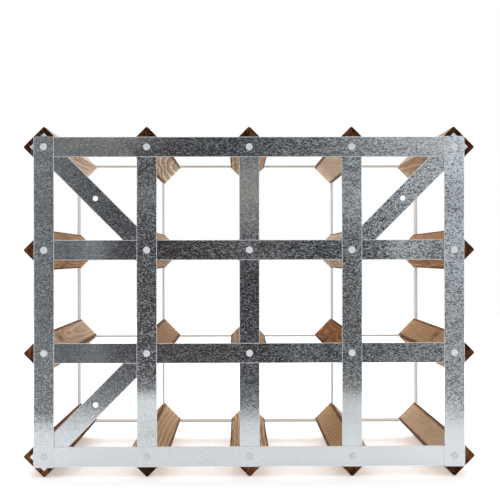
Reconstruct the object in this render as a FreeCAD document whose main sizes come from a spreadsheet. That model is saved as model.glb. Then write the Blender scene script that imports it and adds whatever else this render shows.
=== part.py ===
"""Wine rack for twelve bottles: twenty square wooden bars in two lattices of galvanised strip.

The rear lattice, at -Y, is flat strip woven and nailed to the bars' end grain. The front
lattice, at +Y, is the same strip set on edge in saw kerfs, and bottles go in from there.
Columns count from -X and rows from the top. The origin is the middle of the rack's base.
"""
import FreeCAD, Part
import os
import Sketcher

COLUMNS = range(1, 6)
ROWS = range(1, 5)

DIMENSIONS = {
    "column_pitch": 97.0,
    "row_pitch": 97.5,
    "bar_side": 28.0,
    "bar_length": 228.0,
    "arris_radius": 1.75,
    "strip_width": 19.0,
    "strip_gauge": 1.0,
    "strip_edge_radius": 0.45,
    "rear_overhang": 10.0,
    "front_overhang": 16.0,
    "flat_reach": 24.0,
    "nail_clearance": 3.0,
    "wall_hole": 5.0,
    "shank_diameter": 2.65,
    "nail_length": 25.0,
    "point_length": 4.0,
    "head_diameter": 6.5,
    "head_thickness": 1.1,
    "head_bevel": 0.4,
}

# How many strips lie between the wood and each strip, at every crossing along it.
UPRIGHT_LAYERS = {
    1: (2, 1, 1, 2),
    2: (0, 2, 2, 0),
    3: (0, 0, 0, 0),
    4: (0, 2, 1, 0),
    5: (2, 1, 1, 1),
}
CROSS_LAYERS = {
    1: (1, 1, 1, 1, 1),
    2: (0, 1, 1, 1, 0),
    3: (0, 1, 1, 0, 0),
    4: (1, 1, 1, 1, 0),
}
# Each brace lies against the wood, from the bar at an outer corner to the next one inwards.
BRACES = {
    "corner_brace_top_left": ((1, 1), (2, 2)),
    "corner_brace_top_right": ((5, 1), (4, 2)),
    "corner_brace_bottom_left": ((1, 4), (2, 3)),
}

ARRIS = "(Dims.bar_side / sqrt(2))"
# The lowest point of a bar is its rounded arris, a little inside the square's corner.
LOWEST = f"({ARRIS} - Dims.arris_radius * (sqrt(2) - 1))"
OVERALL_DEPTH = "(Dims.bar_length + 3 * Dims.strip_gauge + Dims.head_thickness)"
REAR_OF_WOOD = f"({OVERALL_DEPTH} / 2 - Dims.bar_length)"
FRONT_STRIP_Y = f"({OVERALL_DEPTH} / 2 - Dims.strip_width)"
DIAGONAL_PITCH = "hypot(Dims.column_pitch; Dims.row_pitch)"
# A turn about X brings Z of a body along the rack's depth, and one about Y aims its X.
ALONG_DEPTH = FreeCAD.Vector(1, 0, 0)
IN_LATTICE = FreeCAD.Vector(0, 1, 0)

document = FreeCAD.newDocument("WineRack")
sheet = document.addObject("Spreadsheet::Sheet", "Dims")
for line, (alias, value) in enumerate(DIMENSIONS.items(), 1):
    sheet.set(f"A{line}", alias)
    sheet.set(f"B{line}", str(value))
    sheet.setAlias(f"B{line}", alias)
document.recompute()


def size(expression):
    """The present value of an expression in the sheet's dimensions."""
    return float(sheet.evalExpression(expression))


def column_x(column):
    return f"{column - 3} * Dims.column_pitch"


def row_z(row):
    return f"{LOWEST} + {4 - row} * Dims.row_pitch"


def layers_at(column, row):
    """How many layers of strip the nail at a crossing passes through."""
    return max(UPRIGHT_LAYERS[column][row - 1], CROSS_LAYERS[row][column - 1]) + 1


def new_body(label):
    body = document.addObject("PartDesign::Body", label)
    body.Label = label
    return body


def place(body, axis, angle, position):
    """Turn a body about an axis through its own origin, and put that origin at a position."""
    body.Placement.Rotation = FreeCAD.Rotation(axis, 1)
    body.setExpression("Placement.Rotation.Angle", angle)
    for letter, expression in zip("xyz", position):
        body.setExpression(f"Placement.Base.{letter}", expression)


def new_sketch(body, name, role, height="0"):
    """A sketch on one of the body's origin planes, or raised above it."""
    sketch = body.newObject("Sketcher::SketchObject", name)
    planes = body.Origin.OriginFeatures
    sketch.AttachmentSupport = [(next(p for p in planes if p.Role == role), "")]
    sketch.MapMode = "FlatFace"
    sketch.setExpression("AttachmentOffset.Base.z", height)
    return sketch


def hold(sketch, geometry, end, x, y):
    """Fix one end of a line, or a circle's centre, at expressions from the sketch's origin."""
    for kind, expression in (("DistanceX", x), ("DistanceY", y)):
        rule = Sketcher.Constraint(kind, -1, 1, geometry, end, size(expression))
        index = sketch.addConstraint(rule)
        sketch.setExpression(f"Constraints[{index}]", expression)


def draw_polygon(sketch, corners):
    points = [FreeCAD.Vector(size(x), size(y), 0) for x, y in corners]
    lines = []
    for start, stop in zip(points, points[1:] + points[:1]):
        lines.append(sketch.addGeometry(Part.LineSegment(start, stop)))
    for line, following, (x, y) in zip(lines, lines[1:] + lines[:1], corners):
        hold(sketch, line, 1, x, y)
        sketch.addConstraint(Sketcher.Constraint("Coincident", line, 2, following, 1))


def draw_rectangle(sketch, left, right, bottom, top):
    draw_polygon(sketch, [(left, bottom), (right, bottom), (right, top), (left, top)])


def draw_circle(sketch, x, y, diameter):
    centre = FreeCAD.Vector(size(x), size(y), 0)
    up = FreeCAD.Vector(0, 0, 1)
    circle = sketch.addGeometry(Part.Circle(centre, up, size(diameter) / 2))
    hold(sketch, circle, 3, x, y)
    rule = Sketcher.Constraint("Diameter", circle, size(diameter))
    index = sketch.addConstraint(rule)
    sketch.setExpression(f"Constraints[{index}]", diameter)


def pad(body, sketch, length, both_ways=False):
    feature = body.newObject("PartDesign::Pad", sketch.Name + "_pad")
    feature.Profile = sketch
    feature.Midplane = both_ways
    feature.setExpression("Length", length)
    return feature


def cut_through(body, sketch):
    feature = body.newObject("PartDesign::Pocket", sketch.Name + "_cut")
    feature.Profile = sketch
    feature.Type = "ThroughAll"
    feature.Midplane = True
    return feature


def cut_to(body, sketch, depth, upwards=False):
    feature = body.newObject("PartDesign::Pocket", sketch.Name + "_cut")
    feature.Profile = sketch
    feature.Reversed = upwards
    feature.setExpression("Length", depth)


def repeat_along(body, feature, pitch, count):
    """The same cut at every crossing along a strip."""
    pattern = body.newObject("PartDesign::LinearPattern", feature.Name + "_row")
    axes = body.Origin.OriginFeatures
    pattern.Originals = [feature]
    pattern.Direction = (next(a for a in axes if a.Role == "X_Axis"), [""])
    pattern.setExpression("Length", f"{count - 1} * {pitch}")
    pattern.Occurrences = count
    body.Tip = pattern


def is_upright(edge):
    return abs(edge.tangentAt(edge.FirstParameter).z) > 0.99


def round_edges(body, base, radius, upright):
    """Round the edges of the last feature that stand along Z of its body, or all the others."""
    document.recompute()
    edges = enumerate(base.Shape.Edges, 1)
    names = [f"Edge{number}" for number, edge in edges if is_upright(edge) == upright]
    rounded = body.newObject("PartDesign::Fillet", base.Name + "_rounded")
    rounded.Base = (base, names)
    rounded.setExpression("Radius", radius)


def make_bar(column, row):
    """One planed bar, its nailed end down at Z = 0 of its body and its kerfs at the top."""
    body = new_body(f"wood_bar_row{row}_column{column}")
    section = new_sketch(body, "section", "XY_Plane")
    points = [(ARRIS, "0"), ("0", ARRIS), (f"-{ARRIS}", "0"), ("0", f"-{ARRIS}")]
    draw_polygon(section, points)
    blank = pad(body, section, "Dims.bar_length")
    round_edges(body, blank, "Dims.arris_radius", upright=True)

    thin, wide = "Dims.strip_gauge / 2", ARRIS
    for name, across, along in (("upright_kerf", thin, wide), ("cross_kerf", wide, thin)):
        kerf = new_sketch(body, name, "XY_Plane", "Dims.bar_length")
        draw_rectangle(kerf, f"-{across}", across, f"-{along}", along)
        cut_to(body, kerf, "Dims.strip_width")

    pilot = new_sketch(body, "pilot_hole", "XY_Plane")
    draw_circle(pilot, "0", "0", "Dims.shank_diameter")
    depth = f"Dims.nail_length - {layers_at(column, row)} * Dims.strip_gauge"
    cut_to(body, pilot, depth, upwards=True)

    place(body, ALONG_DEPTH, "-90 deg", (column_x(column), REAR_OF_WOOD, row_z(row)))
    return body


def flat_runs(layers, pitch, overhang):
    """The flat stretches of a woven strip, as (start, stop, layer), from its first crossing."""
    last = len(layers) - 1
    runs = []
    for index, layer in enumerate(layers):
        start = f"-{overhang}" if index == 0 else f"{index} * {pitch} - Dims.flat_reach"
        stop = f"{index} * {pitch} + " + (overhang if index == last else "Dims.flat_reach")
        if runs and runs[-1][2] == layer:
            start = runs.pop()[0]
        runs.append((start, stop, layer))
    return runs


def draw_joggle(sketch, line, following):
    """Two equal arcs that take the strip from one layer to the next without a crease."""
    start, stop = sketch.getPoint(line, 2), sketch.getPoint(following, 1)
    middle = (start + stop) / 2
    rise = stop.y - start.y
    quarter = (stop.x - start.x) / 4
    sag = rise / 8
    first = Part.Arc(start, start + FreeCAD.Vector(quarter, sag, 0), middle)
    second = Part.Arc(middle, stop - FreeCAD.Vector(quarter, sag, 0), stop)
    leaving, arriving = sketch.addGeometry(first), sketch.addGeometry(second)
    near, far = (1, 2) if rise > 0 else (2, 1)
    sketch.addConstraint(Sketcher.Constraint("Tangent", line, 2, leaving, near))
    sketch.addConstraint(Sketcher.Constraint("Tangent", leaving, far, arriving, far))
    sketch.addConstraint(Sketcher.Constraint("Tangent", arriving, near, following, 1))
    sketch.addConstraint(Sketcher.Constraint("Equal", leaving, arriving))


def draw_face(sketch, runs, offset):
    """One broad face of a woven strip in side view: its first and last lines."""
    lines = []
    for start, stop, layer in runs:
        y = f"-{layer + offset} * Dims.strip_gauge"
        left = FreeCAD.Vector(size(start), size(y), 0)
        right = FreeCAD.Vector(size(stop), size(y), 0)
        lines.append(sketch.addGeometry(Part.LineSegment(left, right)))
        hold(sketch, lines[-1], 1, start, y)
        hold(sketch, lines[-1], 2, stop, y)
    for line, following in zip(lines, lines[1:]):
        draw_joggle(sketch, line, following)
    return (lines[0], 1), (lines[-1], 2)


def make_flat_strip(label, layers, pitch, overhang):
    """A rear strip along X of its body, its inner face at Y = 0 where it is on the wood."""
    body = new_body(label)
    profile = new_sketch(body, "side_view", "XY_Plane")
    runs = flat_runs(layers, pitch, overhang)
    inner = draw_face(profile, runs, 0)
    outer = draw_face(profile, runs, 1)
    for inside, outside in zip(inner, outer):
        start, stop = profile.getPoint(*inside), profile.getPoint(*outside)
        end = profile.addGeometry(Part.LineSegment(start, stop))
        profile.addConstraint(Sketcher.Constraint("Coincident", *inside, end, 1))
        profile.addConstraint(Sketcher.Constraint("Coincident", *outside, end, 2))
    strip = pad(body, profile, "Dims.strip_width", both_ways=True)
    round_edges(body, strip, "Dims.strip_edge_radius", upright=False)

    hole = new_sketch(body, "nail_hole", "XZ_Plane")
    draw_circle(hole, "0", "0", "Dims.nail_clearance")
    repeat_along(body, cut_through(body, hole), pitch, len(layers))
    return body


def make_edge_strip(label, count, pitch, notch_bottom, notch_top):
    """A front strip along X of its body, Y across its width, half notched at every crossing."""
    body = new_body(label)
    blank = new_sketch(body, "blank", "XY_Plane")
    stop = f"{count - 1} * {pitch} + Dims.front_overhang"
    draw_rectangle(blank, "-Dims.front_overhang", stop, "0", "Dims.strip_width")
    strip = pad(body, blank, "Dims.strip_gauge", both_ways=True)
    round_edges(body, strip, "Dims.strip_edge_radius", upright=False)

    notch = new_sketch(body, "notch", "XY_Plane")
    half = "Dims.strip_gauge / 2"
    draw_rectangle(notch, f"-{half}", half, notch_bottom, notch_top)
    repeat_along(body, cut_through(body, notch), pitch, count)
    return body


def make_rear_strips():
    strips = []
    for column, layers in UPRIGHT_LAYERS.items():
        label = f"rear_upright_strip_{column}"
        strip = make_flat_strip(label, layers, "Dims.row_pitch", "Dims.rear_overhang")
        place(strip, IN_LATTICE, "90 deg", (column_x(column), REAR_OF_WOOD, row_z(1)))
        strips.append(strip)
    for row, layers in CROSS_LAYERS.items():
        label = f"rear_cross_strip_{row}"
        strip = make_flat_strip(label, layers, "Dims.column_pitch", "Dims.rear_overhang")
        place(strip, IN_LATTICE, "0 deg", (column_x(1), REAR_OF_WOOD, row_z(row)))
        strips.append(strip)
    return strips


def make_brace(label, start, stop):
    """A flat strip across one bay, with the hole at its middle that fixes the rack to a wall."""
    brace = make_flat_strip(label, (0, 0), DIAGONAL_PITCH, "(Dims.strip_width / 2)")
    hole = new_sketch(brace, "wall_hole", "XZ_Plane")
    draw_circle(hole, f"{DIAGONAL_PITCH} / 2", "0", "Dims.wall_hole")
    cut_through(brace, hole)
    across = f"{stop[0] - start[0]} * Dims.column_pitch"
    down = f"{stop[1] - start[1]} * Dims.row_pitch"
    position = (column_x(start[0]), REAR_OF_WOOD, row_z(start[1]))
    place(brace, IN_LATTICE, f"atan2({down}; {across})", position)
    return brace


def make_front_strips():
    """Uprights open their notches to the front, and cross strips slide into them from there."""
    half, full = "Dims.strip_width / 2", "Dims.strip_width"
    strips = []
    for column in COLUMNS:
        label = f"front_upright_strip_{column}"
        strip = make_edge_strip(label, len(ROWS), "Dims.row_pitch", half, full)
        place(strip, IN_LATTICE, "90 deg", (column_x(column), FRONT_STRIP_Y, row_z(1)))
        strips.append(strip)
    for row in ROWS:
        label = f"front_cross_strip_{row}"
        strip = make_edge_strip(label, len(COLUMNS), "Dims.column_pitch", "0", half)
        place(strip, IN_LATTICE, "0 deg", (column_x(1), FRONT_STRIP_Y, row_z(row)))
        strips.append(strip)
    return strips


def make_nail(column, row):
    """A clout nail, its point up along Z of its body and the underside of its head at Z = 0."""
    body = new_body(f"clout_nail_row{row}_column{column}")
    profile = new_sketch(body, "profile", "XZ_Plane")
    head, shank = "Dims.head_diameter / 2", "Dims.shank_diameter / 2"
    corners = [
        ("0", "-Dims.head_thickness"),
        (f"{head} - Dims.head_bevel", "-Dims.head_thickness"),
        (head, "Dims.head_bevel - Dims.head_thickness"),
        (head, "0"),
        (shank, "0"),
        (shank, "Dims.nail_length - Dims.point_length"),
        ("0", "Dims.nail_length"),
    ]
    draw_polygon(profile, corners)
    turned = body.newObject("PartDesign::Revolution", "turned")
    turned.Profile = profile
    turned.ReferenceAxis = (profile, ["V_Axis"])
    seat = f"{REAR_OF_WOOD} - {layers_at(column, row)} * Dims.strip_gauge"
    place(body, ALONG_DEPTH, "-90 deg", (column_x(column), seat, row_z(row)))
    return body


def make_nails():
    nails = document.addObject("Part::Compound", "clout_nails")
    nails.Links = [make_nail(column, row) for row in ROWS for column in COLUMNS]
    return nails


def check(parts):
    for item in document.Objects:
        if "Invalid" in item.State or "Error" in item.State:
            raise RuntimeError(f"{item.Label}: {item.State}")
    for part in parts:
        if part.Shape.isNull() or not part.Shape.isValid():
            raise RuntimeError(f"{part.Label} has no valid shape")


parts = [make_bar(column, row) for row in ROWS for column in COLUMNS]
parts += make_rear_strips()
parts += [make_brace(label, start, stop) for label, (start, stop) in BRACES.items()]
parts += make_front_strips()
parts.append(make_nails())
document.recompute()
check(parts)
os.makedirs("parts", exist_ok=True)
for part in parts:
    part.Shape.exportStep(f"parts/{part.Label}.step")
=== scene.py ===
"""Looks of the twelve-bottle wine rack: stained softwood bars in lattices of galvanised strip.

Everything is in metres in the rack's own frame: +Z up, the nailed lattice at -Y, which the
camera faces, and the open front at +Y. Columns count from -X and rows from the top.
"""
import math
import random

import bpy
from mathutils import Euler, Matrix, Vector


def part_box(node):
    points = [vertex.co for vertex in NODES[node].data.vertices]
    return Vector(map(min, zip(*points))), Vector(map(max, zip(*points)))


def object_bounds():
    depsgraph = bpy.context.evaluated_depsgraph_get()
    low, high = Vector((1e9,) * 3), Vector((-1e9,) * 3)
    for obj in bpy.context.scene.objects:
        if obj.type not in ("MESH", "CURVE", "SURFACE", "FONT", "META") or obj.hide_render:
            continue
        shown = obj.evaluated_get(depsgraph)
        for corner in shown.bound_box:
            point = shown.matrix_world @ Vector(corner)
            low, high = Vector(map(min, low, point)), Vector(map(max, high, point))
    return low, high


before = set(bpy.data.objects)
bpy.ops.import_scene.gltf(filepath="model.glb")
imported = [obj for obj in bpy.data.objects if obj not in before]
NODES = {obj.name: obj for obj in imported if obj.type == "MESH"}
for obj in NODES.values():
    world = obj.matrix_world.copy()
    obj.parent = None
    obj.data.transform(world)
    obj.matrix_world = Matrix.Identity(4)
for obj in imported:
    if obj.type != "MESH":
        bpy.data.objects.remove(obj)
cad_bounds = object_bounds()
LOW, HIGH = (Vector(corner) for corner in cad_bounds)
CENTRE = (LOW + HIGH) / 2
MM = 0.001

# Where the photographer stands, measured from the nailed lattice and the rack's centre.
CAMERA_DISTANCE = 0.9995
CAMERA_ABOVE_CENTRE = 0.0423
CAMERA_LEFT_OF_CENTRE = 0.0091
CAMERA_PITCH = math.radians(90.363)
CAMERA_YAW = math.radians(-0.555)
CAMERA_ROLL = math.radians(-0.1)
LENS_MM = 76.0
SENSOR_MM = 36

# The white table ends this far in front of the rack, and the room beyond it is dark.
TABLE_FRONT = 0.385
TABLE_HALF_WIDTH = 2.0
TABLE_GLOW = 0.31
TABLE_BACK = 2.5
TABLE_MOTTLE_SCALE = 6.0
TABLE_ROUGHNESS = 0.6
TABLE_GLOSS = 0.2
TABLE_WHITES = ((0.3, (0.90, 0.8955, 0.8865, 1.0)), (0.7, (0.92, 0.9154, 0.90896, 1.0)))

# The room that the zinc mirrors, shaped so that the zinc looks as it does in the photograph.
# Bearings run to the right from straight in front of the rack, heights up from the horizon, both
# in degrees. Patches are (bearing, height, reach, reach, colour).
ROOM_STRENGTH = 1.0
ROOM_BY_BEARING = (
    (-180, 0.85),
    (-25, 0.85),
    (-20, 0.52),
    (-15, 0.40),
    (-12, 0.09),
    (-10, 0.024),
    (-7, 0.015),
    (-5, 0.014),
    (-2, 0.012),
    (1, 0.018),
    (4, 0.044),
    (6, 0.080),
    (8, 0.068),
    (9.5, 0.10),
    (11.5, 0.34),
    (14, 0.72),
    (20, 0.85),
    (180, 0.85),
)
COOL = (0.95, 1.0, 1.03)
CEILING = 0.85
CEILING_FROM_TO = (5, 34)
ROOM_PATCHES = (
    (16, 9, 7, 6.5, (1.45, 1.49, 1.52, 1.0)),
    (12.5, -8, 3.5, 5, (0.51, 0.52, 0.53, 1.0)),
    (-5.3, -2.5, 2.6, 5, (0.080, 0.032, 0.040, 1.0)),
    (-12, -8.5, 4, 1.8, (0.38, 0.39, 0.40, 1.0)),
)
UNDER_TABLE = 0.034
UNDER_TABLE_FROM_TO = (-12, -2)
# Past the table's edge the floor is lighter near the rack.
NEAR_FLOOR = 0.17
NEAR_FLOOR_FROM_TO = (-10, -5)
# Lamps are (name, place, aim, width and length, watts).
LAMPS = (
    ("overhead", (-0.3, 0.2, 1.7), CENTRE, (1.6, 1.6), 5),
    ("behind", (0.1, 1.7, 1.2), (0, 0.1, 0), (2.2, 1.0), 21),
)


# ---------------------------------------------------------------- nodes of a material
def add(tree, kind, values=None, **settings):
    """One shader node. Values are numbers for its sockets, or the sockets that feed them."""
    made = tree.nodes.new(kind)
    for name, value in settings.items():
        setattr(made, name, value)
    for name, value in (values or {}).items():
        if isinstance(value, bpy.types.NodeSocket):
            tree.links.new(value, made.inputs[name])
        else:
            made.inputs[name].default_value = value
    return made


def maths(tree, operation, first, second=0.0, third=0.0):
    values = {0: first, 1: second, 2: third}
    return add(tree, "ShaderNodeMath", values, operation=operation).outputs[0]


def vectors(tree, operation, first, second=(0.0, 0.0, 0.0)):
    values = {0: first, 1: second}
    made = add(tree, "ShaderNodeVectorMath", values, operation=operation)
    return made.outputs["Value" if operation in ("LENGTH", "DOT_PRODUCT") else "Vector"]


def scaled(tree, vector, factor):
    values = {0: vector, "Scale": factor}
    return add(tree, "ShaderNodeVectorMath", values, operation="SCALE").outputs[0]


def between(tree, value, low, high, out_low=0.0, out_high=1.0, smooth=False):
    """A value carried from one range to another and kept inside it."""
    kind = "SMOOTHSTEP" if smooth else "LINEAR"
    values = {"Value": value, "From Min": low, "From Max": high}
    values["To Min"] = out_low
    values["To Max"] = out_high
    return add(tree, "ShaderNodeMapRange", values, interpolation_type=kind).outputs["Result"]


def mixed(tree, factor, first, second, blend="MIX"):
    made = add(tree, "ShaderNodeMix", data_type="RGBA", blend_type=blend)
    for name, value in (("Factor_Float", factor), ("A_Color", first), ("B_Color", second)):
        socket = next(s for s in made.inputs if s.identifier == name)
        if isinstance(value, bpy.types.NodeSocket):
            tree.links.new(value, socket)
        else:
            socket.default_value = value
    return next(s for s in made.outputs if s.identifier == "Result_Color")


def noise(tree, vector, scale, detail=2.0, roughness=0.5, distortion=0.0):
    values = {"Vector": vector, "Scale": scale, "Detail": detail, "Roughness": roughness}
    values["Distortion"] = distortion
    return add(tree, "ShaderNodeTexNoise", values)


def ramp(tree, value, stops):
    """A colour ramp, given as (position, colour) pairs."""
    made = add(tree, "ShaderNodeValToRGB", {"Fac": value})
    elements = made.color_ramp.elements
    while len(elements) < len(stops):
        elements.new(0.5)
    for element, (position, colour) in zip(elements, stops):
        element.position = position
        element.color = colour
    return made.outputs["Color"]


def degrees(tree, radians):
    return maths(tree, "MULTIPLY", radians, 180 / math.pi)


def patch(tree, bearing, height, middle, reach):
    """One in the middle of a soft-edged patch of the room, falling to nothing round it."""
    across = maths(tree, "DIVIDE", maths(tree, "SUBTRACT", bearing, middle[0]), reach[0])
    up = maths(tree, "DIVIDE", maths(tree, "SUBTRACT", height, middle[1]), reach[1])
    spread = maths(tree, "MULTIPLY_ADD", across, across, maths(tree, "MULTIPLY", up, up))
    return maths(tree, "EXPONENT", maths(tree, "MULTIPLY", spread, -1.0))


def own(tree, name, output="Fac"):
    """A number or vector that each piece carries as a property of its own."""
    made = add(tree, "ShaderNodeAttribute", attribute_name=name, attribute_type="OBJECT")
    return made.outputs[output]


def new_material(name):
    material = bpy.data.materials.new(name)
    material.use_nodes = True
    tree = material.node_tree
    tree.nodes.clear()
    surface = add(tree, "ShaderNodeBsdfPrincipled")
    out = add(tree, "ShaderNodeOutputMaterial")
    tree.links.new(surface.outputs[0], out.inputs["Surface"])
    return material, tree, surface


def grey(level, tint=(1.0, 1.0, 1.0)):
    return (level * tint[0], level * tint[1], level * tint[2], 1.0)


# ---------------------------------------------------------------- materials
WOOD_RING = (
    (0.00, (0.393, 0.226, 0.117, 1.0)),
    (0.35, (0.274, 0.137, 0.062, 1.0)),
    (0.66, (0.327, 0.173, 0.083, 1.0)),
    (0.84, (0.786, 0.571, 0.393, 1.0)),
    (1.00, (0.476, 0.286, 0.161, 1.0)),
)
WOOD_EVEN = (0.393, 0.232, 0.125, 1.0)
WOOD_STREAK = (0.405, 0.232, 0.121, 1.0)
WOOD_PORE = (0.179, 0.081, 0.033, 1.0)
WOOD_BLEACHED = (0.512, 0.333, 0.202, 1.0)
WOOD_KNOT = (0.101, 0.040, 0.015, 1.0)
# Noise scales are per millimetre. Grain is drawn out along the bar by these factors.
BEND_SCALE = 0.045
BEND_STRETCH = (1.0, 0.22, 1.0)
FIBRE_SCALE = 0.9
STREAK_SCALE = 0.33
FIBRE_STRETCH = (1.0, 0.04, 1.0)
BLOTCH_SCALE = 0.07
BLOTCH_STRETCH = (1.0, 0.3, 1.0)
SAWN_SCALE = 0.55
SAWN_STRETCH = (1.0, 1.0, 0.25)
# Offsets each bar's pattern by its own place in the rack.
BAR_SEED = 900.0
# A knot fades out with distance, is longer along the bar and pushes the rings out in millimetres.
KNOT_FADE = -0.012
KNOT_STRETCH = (1.0, 0.45, 1.0)
KNOT_SWELL = 8.0
KNOT_CORE_POWER = 3.0
KNOT_CORE_SHOWS = 0.8
# Layers over the rings: the noise's range, and how much of the layer shows at each end of it.
STREAK_SHOWS = (0.42, 0.68, 0.0, 0.40)
PORE_SHOWS = (0.45, 0.75, 0.0, 0.30)
BLEACHED_SHOWS = (0.40, 0.72, 0.0, 0.40)
END_RED_SHOWS = (0.36, 0.62)
END_RING_SHOWS = (0.60, 0.86, 0.0, 0.8)
SAWN_SHOWS = (0.50, 0.62, 0.0, 0.85)
END_STAIN_SHOWS = (0.0, 0.85)
WOOD_BRIGHTEST = (0.9, 0.9, 0.9)
ARRIS_RAGGED = 1.2
# How squarely a face has to look along the bar to be end grain.
END_FACE_FROM_TO = (0.70, 0.85)
WOOD_ROUGHNESS = (0.3, 0.7, 0.76, 0.95)
WOOD_GLOSS = 0.06
RING_RELIEF = 0.5
# What shows of each bar, fitted to the photograph. Bars without a line here are drawn at random.
# In order: how its stain took, a tone that also carries painted light and shade, most on the top
# row; the bearing and distance of the pith from its axis, how far the pith leans towards that
# bearing along the bar, the ring width and wander in millimetres, how strongly the rings show, and
# a knot's place.
TIMBER = {
    "wood_bar_row1_column1": ((1.74, 2.24, 3.17), 200, 60, 0.0, 3.5, 5, 0.5, None),
    "wood_bar_row1_column2": ((1.54, 2.04, 2.67), 100, 42, 0.03, 2.8, 9, 1.0, None),
    "wood_bar_row1_column3": ((1.11, 1.32, 1.51), 10, 40, 0.0, 3.6, 9, 0.8, None),
    "wood_bar_row1_column4": ((1.71, 2.29, 3.12), 140, 70, 0.01, 2.5, 4, 0.55, None),
    "wood_bar_row1_column5": ((1.25, 1.47, 1.66), 225, 34, 0.02, 2.6, 4, 0.45, (-12, -40, -8)),
    "wood_bar_row2_column1": ((1.04, 1.00, 0.90), 60, 30, 0.0, 3.4, 8, 0.9, (4, -30, -16)),
    "wood_bar_row2_column2": ((1.21, 1.36, 1.49), 15, 34, 0.0, 3.3, 8, 0.6, None),
    "wood_bar_row2_column4": ((1.44, 1.78, 2.32), 300, 45, 0.0, 3.6, 5, 0.4, None),
    "wood_bar_row2_column5": ((0.96, 0.86, 0.74), 20, 70, 0.0, 3.0, 5, 0.6, None),
    "wood_bar_row3_column1": ((1.30, 1.54, 1.92), 50, 24, 0.02, 3.6, 8, 0.4, (9, -70, 12)),
    "wood_bar_row3_column4": ((0.63, 0.40, 0.14), 140, 20, 0.0, 3.6, 12, 1.0, (-15.6, 0, 4.2)),
    "wood_bar_row3_column5": ((1.10, 1.12, 1.01), 45, 70, 0.035, 2.5, 3, 0.9, (-7.4, -56, 12.4)),
    "wood_bar_row4_column2": ((1.38, 1.53, 1.58), 100, 60, 0.02, 4.6, 7, 0.45, None),
    "wood_bar_row4_column3": ((1.25, 1.37, 1.44), 170, 26, 0.0, 3.8, 9, 0.9, None),
    "wood_bar_row4_column4": ((1.16, 1.20, 1.15), 45, 80, 0.0, 2.3, 6, 0.9, None),
    "wood_bar_row4_column5": ((1.44, 1.71, 2.09), 62, 60, 0.01, 2.6, 4, 0.35, None),
}
# How light some bars' ends are drawn, a painted shade darkest on the end under the bottom strip,
# and how dark some bars' edges.
END_SHADE = {
    "wood_bar_row1_column5": 0.5,
    "wood_bar_row2_column5": 0.6,
    "wood_bar_row3_column5": 0.8,
    "wood_bar_row4_column2": 0.25,
}
ARRIS_TONE = {"wood_bar_row1_column1": 0.25, "wood_bar_row1_column5": 0.25}
NAIL_DULL = (0.820, 0.845, 0.870, 1.0)
NAIL_BRIGHT = (0.930, 0.945, 0.960, 1.0)
# The lowest row of nails, up to this height from the table, is painted darker than the others:
# painted shade against the light that the white table throws up on them.
LOW_NAIL_SHADE_HEIGHTS = (0.03, 0.15)
LOW_NAIL_SHADE_LEVEL = 0.72
NAIL_FINE_SCALE = 500.0
NAIL_MARK_SCALE = 260.0
NAIL_ROUGHNESS = (0.3, 0.7, 0.42, 0.52)
NAIL_METALLIC = 0.2
END_DARK = (0.017, 0.005, 0.001, 1.0)
END_RED = (0.190, 0.069, 0.024, 1.0)
# The sides darken towards the arrises, and stain gathers towards the ends, from and to these
# distances in millimetres, out from the axis and along the bar.
ARRIS_DARKENING = (17.4, 19.0)
END_STAIN = (112.6, 114.0)
ZINC = (0.613, 0.649, 0.679, 1.0)
OXIDE = (0.488, 0.464, 0.435, 1.0)
# Zinc noise scales are per metre. Tips are how far a pattern turns the reflection, sideways and up.
CRYSTAL_SCALE = 1120.0
CRYSTAL_TIP = (0.11, 0.022)
PATCH_SCALE = 850.0
PATCH_TIP = (0.12, 0.026)
RIPPLE_SCALE = 75.0
RIPPLE_STRETCH = (0.3, 1.0, 1.5)
RIPPLE_TIP = (0.03, 0.020)
GRAIN_FROM_TO = (0.28, 0.72)
HAZE_FROM_TO = (0.20, 0.85)
HAZE_POWER = 1.5
CRYSTAL_LEVEL = (0.2, 0.8, 0.95, 1.05)
SMEAR_SCALE = 14.0
SMEAR_FROM_TO = (0.30, 0.60)
SMEAR_ROUGHNESS = 0.30
# How strongly the painted edge highlight shows over the patches.
EDGE_HIGHLIGHT_SHOWS = (0.3, 0.6, 0.5, 0.95)
CHALKY_FROM_TO = (0.46, 0.72)
# How matt the painted edge highlight is.
EDGE_HIGHLIGHT_MATT = 0.8
# How uneven, flecked and dull single strips are, fitted to the photograph.
SPANGLE = {
    "rear_upright_strip_1": 1.15,
    "rear_upright_strip_2": 1.00,
    "rear_upright_strip_3": 0.60,
    "rear_upright_strip_4": 0.56,
    "rear_cross_strip_1": 0.52,
    "rear_cross_strip_2": 0.60,
    "rear_cross_strip_3": 0.48,
}
FLECKS = {
    "rear_upright_strip_1": 0.16,
    "rear_upright_strip_2": 0.14,
    "rear_upright_strip_3": 0.09,
    "rear_upright_strip_4": 0.12,
    "rear_upright_strip_5": 0.12,
    "rear_cross_strip_1": 0.11,
    "rear_cross_strip_2": 0.12,
    "rear_cross_strip_3": 0.13,
    "corner_brace_top_left": 0.10,
}
DULLNESS = {
    "rear_upright_strip_4": 0.22,
    "rear_cross_strip_1": 0.25,
}
# How far the shading of some strips is tilted, sideways and back. The strips themselves stay put.
LEAN = {
    "rear_upright_strip_1": (0.010, 0.0),
    "rear_upright_strip_2": (0.004, 0.012),
    "rear_upright_strip_5": (0.010, 0.0),
    "rear_cross_strip_2": (-0.013, 0.0),
    "rear_cross_strip_3": (-0.008, 0.0),
}
# Rolling draws the spangle out along a strip.
ROLLED = {"upright": (0.72, 1.0, 1.12), "cross": (0.62, 1.0, 1.15)}
# Pale zinc: the colour of the chalky flecks, and of the painted highlight on edges and tips.
PALE_ZINC_AND_EDGE_HIGHLIGHT = (0.896, 0.918, 0.941, 1.0)
# The painted edge highlight, in millimetres out from a strip's centreline.
EDGE_HIGHLIGHT_FROM_TO = (8.85, 9.35)
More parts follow.
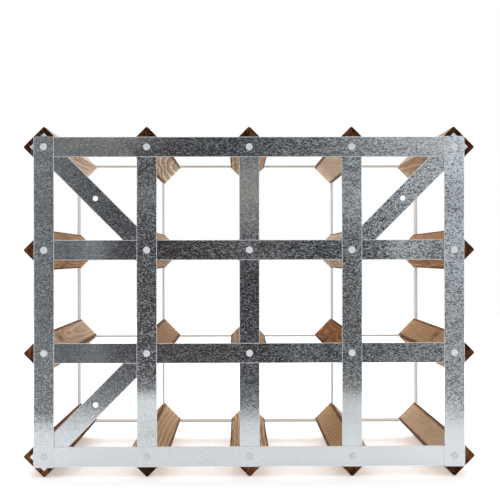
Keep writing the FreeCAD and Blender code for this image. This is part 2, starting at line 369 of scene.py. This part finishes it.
# The painted highlight at a brace's cut end, measured in millimetres from the point its
# length is counted from.
TIP_HIGHLIGHT_FROM_TO = (-4.5, -2.5)
STRIP_WIDTH = 0.019
# Front strips: flat pale matt zinc painted in place of reflections, uprights lighter, cross darker.
FRONT_ZINC = (0.714, 0.696, 0.673, 1.0)
FRONT_CROSS_PAINTED_LEVEL = 0.86
FRONT_UPRIGHT_PAINTED_LEVEL = 1.08
FRONT_UNEVENNESS = 0.1
USUAL_DULLNESS = 0.05
USUAL_FLECKS = 0.03
USUAL_UNEVENNESS = (0.75, 0.95)
USUAL_ARRIS_TONE = 0.85
# A hazy smear: its strength, and its middle across from the rack's middle and up from the table.
SMEARED = {
    "rear_upright_strip_3": (0.9, 0.0, 0.265),
    "rear_cross_strip_1": (0.35, -0.135, 0.312),
    "rear_cross_strip_2": (0.32, 0.010, 0.214),
}
SMEAR_REACH = 0.045
ZINC_ROUGHNESS = (0.10, 0.34)


def make_galvanised():
    """Semi-bright zinc: spangle of about a millimetre, each crystal a little duller or brighter."""
    material, tree, surface = new_material("galvanised_steel")
    place = add(tree, "ShaderNodeTexCoord").outputs["Object"]
    seeded = vectors(tree, "MULTIPLY", place, own(tree, "rolled", "Vector"))
    seeded = vectors(tree, "ADD", seeded, own(tree, "strip_seed", "Vector"))
    amount = own(tree, "unevenness")

    crystal = add(tree, "ShaderNodeTexVoronoi", {"Vector": seeded, "Scale": CRYSTAL_SCALE})
    patches = noise(tree, seeded, PATCH_SCALE, 2.0, 0.6)
    stretched = vectors(tree, "MULTIPLY", seeded, RIPPLE_STRETCH)
    ripple = noise(tree, stretched, RIPPLE_SCALE, 2.0, 0.5)
    facing = add(tree, "ShaderNodeNewGeometry").outputs["Normal"]
    tips = ((crystal, CRYSTAL_TIP), (patches, PATCH_TIP), (ripple, RIPPLE_TIP))
    for source, (sideways, upward) in tips:
        tip = vectors(tree, "SUBTRACT", source.outputs["Color"], (0.5, 0.5, 0.5))
        tip = vectors(tree, "MULTIPLY", tip, (sideways, sideways, upward))
        facing = vectors(tree, "ADD", facing, scaled(tree, tip, amount))
    facing = vectors(tree, "ADD", facing, own(tree, "lean", "Vector"))
    facing = vectors(tree, "NORMALIZE", facing)

    grain = between(tree, patches.outputs["Fac"], *GRAIN_FROM_TO)
    shade = add(tree, "ShaderNodeSeparateColor", {"Color": crystal.outputs["Color"]}).outputs[0]
    mottle = maths(tree, "MULTIPLY_ADD", grain, 0.5, maths(tree, "MULTIPLY", shade, 0.5))
    haze = maths(tree, "POWER", between(tree, mottle, *HAZE_FROM_TO), HAZE_POWER)
    roughness = between(tree, maths(tree, "MULTIPLY", haze, amount), 0.0, 1.0, *ZINC_ROUGHNESS)
    cloud = noise(tree, seeded, SMEAR_SCALE, 3.0, 0.6, 0.4).outputs["Fac"]
    smear = between(tree, cloud, *SMEAR_FROM_TO)
    gap = vectors(tree, "SUBTRACT", place, own(tree, "smear_at", "Vector"))
    gap = scaled(tree, gap, 1 / SMEAR_REACH)
    near = maths(tree, "MULTIPLY", vectors(tree, "DOT_PRODUCT", gap, gap), -1.0)
    near = maths(tree, "EXPONENT", near)
    amount_here = maths(tree, "MULTIPLY_ADD", near, own(tree, "smear"), own(tree, "dullness"))
    smear = maths(tree, "MULTIPLY", smear, amount_here)
    roughness = maths(tree, "MULTIPLY_ADD", smear, SMEAR_ROUGHNESS, roughness)
    dull = mixed(tree, smear, ZINC, OXIDE)
    level = between(tree, mottle, *CRYSTAL_LEVEL)
    shading = add(tree, "ShaderNodeCombineColor", {0: level, 1: level, 2: level}).outputs[0]
    colour = mixed(tree, 1.0, dull, shading, "MULTIPLY")

    # Painted highlight: a pale, matt band along each strip's edges and over the braces' cut tips
    # stands in for the light that the rounded edges catch.
    sideways = vectors(tree, "SUBTRACT", place, own(tree, "centreline", "Vector"))
    sideways = vectors(tree, "DOT_PRODUCT", sideways, own(tree, "across", "Vector"))
    sideways = maths(tree, "DIVIDE", maths(tree, "ABSOLUTE", sideways), MM)
    highlight_patches = between(tree, patches.outputs["Fac"], *EDGE_HIGHLIGHT_SHOWS)
    edge_highlight = between(tree, sideways, *EDGE_HIGHLIGHT_FROM_TO, smooth=True)
    edge_highlight = maths(tree, "MULTIPLY", edge_highlight, highlight_patches)
    outward = vectors(tree, "SUBTRACT", place, own(tree, "tip_at", "Vector"))
    outward = vectors(tree, "DOT_PRODUCT", outward, own(tree, "along", "Vector"))
    tip = between(tree, maths(tree, "DIVIDE", outward, MM), *TIP_HIGHLIGHT_FROM_TO, 0.0, 1.0, smooth=True)
    edge_highlight = maths(tree, "MAXIMUM", edge_highlight, maths(tree, "MULTIPLY", tip, own(tree, "has_tip")))
    colour = mixed(tree, edge_highlight, colour, PALE_ZINC_AND_EDGE_HIGHLIGHT)
    # The front strips take a flat pale colour: painted light in place of reflections.
    weathered = own(tree, "weathered")
    chalky = maths(tree, "MULTIPLY", between(tree, mottle, *CHALKY_FROM_TO), own(tree, "flecks"))
    colour = mixed(tree, chalky, colour, PALE_ZINC_AND_EDGE_HIGHLIGHT)
    front_painted_zinc = scaled(tree, FRONT_ZINC[:3], own(tree, "front_level"))
    colour = mixed(tree, weathered, colour, front_painted_zinc)
    matt = maths(tree, "MULTIPLY", edge_highlight, EDGE_HIGHLIGHT_MATT)
    matt = maths(tree, "MAXIMUM", matt, weathered)
    matt = maths(tree, "MAXIMUM", matt, chalky)
    metal = maths(tree, "SUBTRACT", 1.0, matt)
    tree.links.new(colour, surface.inputs["Base Color"])
    tree.links.new(roughness, surface.inputs["Roughness"])
    tree.links.new(metal, surface.inputs["Metallic"])
    tree.links.new(facing, surface.inputs["Normal"])
    surface.inputs["Specular Tint"].default_value = grey(0.5)
    surface.inputs["Specular IOR Level"].default_value = 0.0
    return material


def make_nail_zinc():
    """Plated nail heads: a paler, less mirror-like zinc than the strips, with hammer marks."""
    material, tree, surface = new_material("plated_nail")
    place = add(tree, "ShaderNodeTexCoord").outputs["Object"]
    fine = noise(tree, place, NAIL_FINE_SCALE, 2.0, 0.5).outputs["Fac"]
    colour = ramp(tree, fine, [(0.3, NAIL_DULL), (0.7, NAIL_BRIGHT)])
    height = add(tree, "ShaderNodeSeparateXYZ", {0: place}).outputs["Z"]
    # Painted shade: nails near the table are drawn darker.
    colour = scaled(tree, colour, between(tree, height, *LOW_NAIL_SHADE_HEIGHTS, LOW_NAIL_SHADE_LEVEL, 1.0))
    roughness = between(tree, fine, *NAIL_ROUGHNESS)
    marks = noise(tree, place, NAIL_MARK_SCALE, 1.0).outputs["Fac"]
    bump = {"Strength": 0.5, "Distance": 0.25 * MM, "Height": marks}
    tree.links.new(colour, surface.inputs["Base Color"])
    tree.links.new(roughness, surface.inputs["Roughness"])
    tree.links.new(add(tree, "ShaderNodeBump", bump).outputs[0], surface.inputs["Normal"])
    surface.inputs["Metallic"].default_value = NAIL_METALLIC
    return material


def make_wood():
    """Stained softwood: one log per bar, its rings cut along the sides and across the ends."""
    material, tree, surface = new_material("stained_softwood")
    place = add(tree, "ShaderNodeTexCoord").outputs["Object"]
    axis = own(tree, "bar_axis", "Vector")
    local = scaled(tree, vectors(tree, "SUBTRACT", place, axis), 1 / MM)
    parts = add(tree, "ShaderNodeSeparateXYZ", {0: local}).outputs
    seeded = vectors(tree, "ADD", local, scaled(tree, axis, BAR_SEED))

    # The log wanders as it grows, and its rings swell round a knot.
    bend = noise(tree, vectors(tree, "MULTIPLY", seeded, BEND_STRETCH), BEND_SCALE, 2.0, 0.5)
    bend = vectors(tree, "SUBTRACT", bend.outputs["Color"], (0.5, 0.5, 0.5))
    bend = scaled(tree, bend, own(tree, "wander"))
    gap = vectors(tree, "SUBTRACT", local, own(tree, "knot", "Vector"))
    gap = vectors(tree, "MULTIPLY", gap, KNOT_STRETCH)
    knot = maths(tree, "MULTIPLY", vectors(tree, "DOT_PRODUCT", gap, gap), KNOT_FADE)
    knot = maths(tree, "MULTIPLY", maths(tree, "EXPONENT", knot), own(tree, "knot_size"))
    lean = scaled(tree, own(tree, "pith_lean", "Vector"), parts["Y"])
    around = vectors(tree, "SUBTRACT", local, own(tree, "pith", "Vector"))
    around = vectors(tree, "ADD", vectors(tree, "ADD", around, lean), bend)
    flat = vectors(tree, "MULTIPLY", around, (1.0, 0.0, 1.0))
    radius = maths(tree, "MULTIPLY_ADD", knot, KNOT_SWELL, vectors(tree, "LENGTH", flat))
    ring = maths(tree, "FRACT", maths(tree, "DIVIDE", radius, own(tree, "ring_width")))

    along = vectors(tree, "MULTIPLY", seeded, FIBRE_STRETCH)
    fibre = noise(tree, along, FIBRE_SCALE, 2.0, 0.6).outputs["Fac"]
    streak = noise(tree, along, STREAK_SCALE, 2.0, 0.5).outputs["Fac"]
    broad = vectors(tree, "MULTIPLY", seeded, BLOTCH_STRETCH)
    blotch = noise(tree, broad, BLOTCH_SCALE, 3.0, 0.55).outputs["Fac"]

    # Stain sinks into the soft early wood and leaves the late wood as pale lines.
    side = mixed(tree, own(tree, "figure"), WOOD_EVEN, ramp(tree, ring, WOOD_RING))
    side = mixed(tree, between(tree, streak, *STREAK_SHOWS), side, WOOD_STREAK)
    side = mixed(tree, between(tree, fibre, *PORE_SHOWS), side, WOOD_PORE)
    side = mixed(tree, between(tree, blotch, *BLEACHED_SHOWS), side, WOOD_BLEACHED)
    core = maths(tree, "POWER", knot, KNOT_CORE_POWER)
    core = maths(tree, "MULTIPLY", core, KNOT_CORE_SHOWS)
    side = mixed(tree, core, side, WOOD_KNOT)
    # The bar's stain, which also carries painted light and shade, fitted bar by bar.
    side = mixed(tree, 1.0, side, own(tree, "stain", "Vector"), "MULTIPLY")
    side = vectors(tree, "MINIMUM", side, WOOD_BRIGHTEST)
    sideways = maths(tree, "ABSOLUTE", parts["X"])
    arris = maths(tree, "MAXIMUM", sideways, maths(tree, "ABSOLUTE", parts["Z"]))
    arris = maths(tree, "MULTIPLY_ADD", fibre, ARRIS_RAGGED, arris)
    arris = between(tree, arris, *ARRIS_DARKENING, smooth=True)
    arris = maths(tree, "MULTIPLY", arris, own(tree, "arris_tone"))
    side = mixed(tree, arris, side, WOOD_KNOT)
    lengthways = maths(tree, "SUBTRACT", parts["Y"], own(tree, "bar_middle"))
    lengthways = maths(tree, "ABSOLUTE", lengthways)
    near_end = between(tree, lengthways, *END_STAIN, *END_STAIN_SHOWS, smooth=True)
    side = mixed(tree, near_end, side, WOOD_KNOT)

    sawn = noise(tree, vectors(tree, "MULTIPLY", seeded, SAWN_STRETCH), SAWN_SCALE, 3.0, 0.65)
    end = mixed(tree, between(tree, blotch, *END_RED_SHOWS, smooth=True), END_DARK, END_RED)
    end = mixed(tree, between(tree, ring, *END_RING_SHOWS, smooth=True), end, END_RED)
    end = mixed(tree, between(tree, sawn.outputs["Fac"], *SAWN_SHOWS), end, END_DARK)
    # Painted shade: some bars' ends are drawn darker.
    end = scaled(tree, end, own(tree, "end_tone"))

    geometry = add(tree, "ShaderNodeNewGeometry")
    facing = add(tree, "ShaderNodeSeparateXYZ", {0: geometry.outputs["Normal"]}).outputs["Y"]
    facing = maths(tree, "ABSOLUTE", facing)
    across = between(tree, facing, *END_FACE_FROM_TO, smooth=True)
    tree.links.new(mixed(tree, across, side, end), surface.inputs["Base Color"])

    roughness = between(tree, fibre, *WOOD_ROUGHNESS)
    tree.links.new(roughness, surface.inputs["Roughness"])
    surface.inputs["Specular IOR Level"].default_value = WOOD_GLOSS
    relief = maths(tree, "ADD", maths(tree, "MULTIPLY", ring, RING_RELIEF), fibre)
    bump = {"Strength": 0.35, "Distance": 0.07 * MM, "Height": relief}
    tree.links.new(add(tree, "ShaderNodeBump", bump).outputs[0], surface.inputs["Normal"])
    return material


def make_table():
    material, tree, surface = new_material("white_table")
    place = add(tree, "ShaderNodeTexCoord").outputs["Object"]
    mottled = noise(tree, place, TABLE_MOTTLE_SCALE, 3.0).outputs["Fac"]
    colour = ramp(tree, mottled, TABLE_WHITES)
    tree.links.new(colour, surface.inputs["Base Color"])
    surface.inputs["Roughness"].default_value = TABLE_ROUGHNESS
    surface.inputs["Specular IOR Level"].default_value = TABLE_GLOSS
    surface.inputs["Emission Color"].default_value = grey(1.0)
    surface.inputs["Emission Strength"].default_value = TABLE_GLOW
    return material


# ---------------------------------------------------------------- the rack
def give(piece, material):
    piece.data.materials.clear()
    piece.data.materials.append(material)


def dress_bars(wood):
    """Every bar comes from its own piece of timber: its pith, ring width and stain differ, and the
    stain also carries painted light and shade.

    The random values are drawn for every bar, so a line added to TIMBER changes no other bar.
    """
    chance = random.Random(12)
    for name in sorted(n for n in NODES if n.startswith("wood_bar")):
        bar = NODES[name]
        low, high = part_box(name)
        middle = (low + high) / 2
        some_knot = (chance.uniform(-16, 16), chance.uniform(-110, 110), chance.uniform(-16, 16))
        # In the order of a line of TIMBER.
        plain = (
            [chance.uniform(0.8, 1.25)] * 3,
            chance.uniform(0, 360),
            chance.uniform(18, 70),
            chance.uniform(-0.03, 0.03),
            chance.uniform(2.6, 4.0),
            chance.uniform(6, 12),
            chance.uniform(0.4, 1.0),
            chance.choice((None, None, some_knot)),
        )
        stain, bearing, away, lean, ring, wander, figure, knot = TIMBER.get(name, plain)
        towards = (math.cos(math.radians(bearing)), math.sin(math.radians(bearing)))
        bar["bar_axis"] = [middle.x, 0.0, middle.z]
        bar["bar_middle"] = middle.y / MM
        bar["stain"] = list(stain)
        bar["pith"] = [away * towards[0], 0.0, away * towards[1]]
        bar["pith_lean"] = [lean * towards[0], 0.0, lean * towards[1]]
        bar["ring_width"] = float(ring)
        bar["wander"] = float(wander)
        bar["figure"] = float(figure)
        bar["end_tone"] = END_SHADE.get(name, 1.0)
        bar["arris_tone"] = ARRIS_TONE.get(name, USUAL_ARRIS_TONE)
        bar["knot"] = [float(v) for v in (knot or (0, 0, 0))]
        bar["knot_size"] = 1.0 if knot else 0.0
        give(bar, wood)


def strip_across(name):
    """The direction across a strip's width. The braces run down towards their own corners."""
    if name.startswith("front"):
        return [0.0, 1.0, 0.0]
    if name.startswith("rear_upright"):
        return [1.0, 0.0, 0.0]
    if name.startswith("rear_cross"):
        return [0.0, 0.0, 1.0]
    slope = math.sqrt(0.5)
    return [slope, 0.0, slope] if name == "corner_brace_top_left" else [slope, 0.0, -slope]


def dress_strips(zinc):
    """Each strip has spangle of its own. The ones at the front are smoother and duller, in a flat
    pale colour that is painted light, lighter on the uprights than on the cross strips.
    """
    chance = random.Random(5)
    for name in sorted(n for n in NODES if "strip" in n or "brace" in n):
        strip = NODES[name]
        front = name.startswith("front")
        strip["unevenness"] = FRONT_UNEVENNESS
        if not front:
            strip["unevenness"] = SPANGLE.get(name, chance.uniform(*USUAL_UNEVENNESS))
        strip["dullness"] = 1.0 if front else DULLNESS.get(name, USUAL_DULLNESS)
        strip["weathered"] = 1.0 if front else 0.0
        strip["flecks"] = FLECKS.get(name, USUAL_FLECKS)
        aside, back = LEAN.get(name, (0.0, 0.0))
        strip["lean"] = [aside, 0.0, back]
        is_cross = name.startswith("front_cross")
        strip["front_level"] = FRONT_CROSS_PAINTED_LEVEL if is_cross else FRONT_UPRIGHT_PAINTED_LEVEL
        low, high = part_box(name)
        strip["centreline"] = list((low + high) / 2)
        strip["across"] = strip_across(name)
        strip["along"] = [0.0, 0.0, 0.0]
        strip["tip_at"] = [0.0, 0.0, 0.0]
        strip["has_tip"] = 1.0 if name.startswith("corner") else 0.0
        if name.startswith("corner"):
            half = (high.x - low.x) * math.sqrt(0.5) - STRIP_WIDTH / 2
            outward = Vector((math.sqrt(0.5), 0.0, math.sqrt(0.5)))
            if name.endswith("left"):
                outward.x = -outward.x
            if name.startswith("corner_brace_bottom"):
                outward.z = -outward.z
            strip["along"] = list(outward)
            strip["tip_at"] = list((low + high) / 2 + outward * half)
        strip["rolled"] = ROLLED.get(name.split("_")[1], (1.0, 1.0, 1.0))
        strength, across, up = SMEARED.get(name, (0.0, 0.0, 0.0))
        strip["smear"] = strength
        strip["smear_at"] = [CENTRE.x + across, LOW.y, up]
        strip["strip_seed"] = [chance.uniform(0, 9), chance.uniform(0, 9), chance.uniform(0, 9)]
        give(strip, zinc)


def build_rack():
    zinc = make_galvanised()
    dress_bars(make_wood())
    dress_strips(zinc)
    give(NODES["clout_nails"], make_nail_zinc())


# ---------------------------------------------------------------- studio
def build_table():
    mesh = bpy.data.meshes.new("table")
    front = LOW.y - TABLE_FRONT
    wide = TABLE_HALF_WIDTH
    corners = [(-wide, front, 0), (wide, front, 0), (wide, TABLE_BACK, 0), (-wide, TABLE_BACK, 0)]
    mesh.from_pydata([Vector(c) for c in corners], [], [(0, 1, 2, 3)])
    table = bpy.data.objects.new("table", mesh)
    bpy.context.scene.collection.objects.link(table)
    give(table, make_table())


def build_room():
    """A white studio, dark where the photographer stands and below the table."""
    world = bpy.data.worlds.new("studio")
    bpy.context.scene.world = world
    world.use_nodes = True
    tree = world.node_tree
    tree.nodes.clear()
    look = add(tree, "ShaderNodeTexCoord").outputs["Generated"]
    x, y, z = add(tree, "ShaderNodeSeparateXYZ", {0: look}).outputs
    bearing = degrees(tree, maths(tree, "ARCTAN2", x, maths(tree, "MULTIPLY", y, -1.0)))
    height = degrees(tree, maths(tree, "ARCSINE", z))
    spread = between(tree, bearing, -180, 180)
    stops = [((turn + 180) / 360, grey(level, COOL)) for turn, level in ROOM_BY_BEARING]
    room = ramp(tree, spread, stops)
    room = mixed(tree, between(tree, height, *CEILING_FROM_TO, smooth=True), room, grey(CEILING))
    below = between(tree, height, *UNDER_TABLE_FROM_TO, 1.0, 0.0)
    room = mixed(tree, below, room, grey(UNDER_TABLE))
    near_floor = between(tree, height, *NEAR_FLOOR_FROM_TO, 1.0, 0.0)
    room = mixed(tree, near_floor, room, grey(NEAR_FLOOR))
    for across, up, half_width, half_height, colour in ROOM_PATCHES:
        near = patch(tree, bearing, height, (across, up), (half_width, half_height))
        room = mixed(tree, near, room, colour)
    lit = add(tree, "ShaderNodeBackground", {"Color": room, "Strength": ROOM_STRENGTH})
    seen = add(tree, "ShaderNodeBackground", {"Color": grey(1.0), "Strength": 1.0})
    path = add(tree, "ShaderNodeLightPath").outputs["Is Camera Ray"]
    both = add(tree, "ShaderNodeMixShader", {0: path, 1: lit.outputs[0], 2: seen.outputs[0]})
    out = add(tree, "ShaderNodeOutputWorld")
    tree.links.new(both.outputs[0], out.inputs["Surface"])


def add_light(name, place, aim, size, watts):
    light = bpy.data.lights.new(name, "AREA")
    light.shape = "RECTANGLE"
    light.size, light.size_y = size
    light.energy = watts
    lamp = bpy.data.objects.new(name, light)
    lamp.location = place
    lamp.rotation_euler = (Vector(aim) - Vector(place)).to_track_quat("-Z", "Y").to_euler()
    lamp.visible_camera = False
    bpy.context.scene.collection.objects.link(lamp)


def build_lights():
    for name, place, aim, size, watts in LAMPS:
        add_light(name, place, aim, size, watts)


def build_camera():
    data = bpy.data.cameras.new("camera")
    data.sensor_width = SENSOR_MM
    data.lens = LENS_MM
    camera = bpy.data.objects.new("camera", data)
    bpy.context.scene.collection.objects.link(camera)
    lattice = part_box("corner_brace_top_left")[1].y
    camera.location = (
        CENTRE.x - CAMERA_LEFT_OF_CENTRE,
        lattice - CAMERA_DISTANCE,
        CENTRE.z + CAMERA_ABOVE_CENTRE,
    )
    aim = Euler((CAMERA_PITCH, 0.0, CAMERA_YAW)).to_matrix() @ Matrix.Rotation(CAMERA_ROLL, 3, "Z")
    camera.rotation_euler = aim.to_euler()
    bpy.context.scene.camera = camera


build_rack()
build_table()
build_room()
build_lights()
build_camera()
bpy.context.scene.view_settings.view_transform = "Standard"
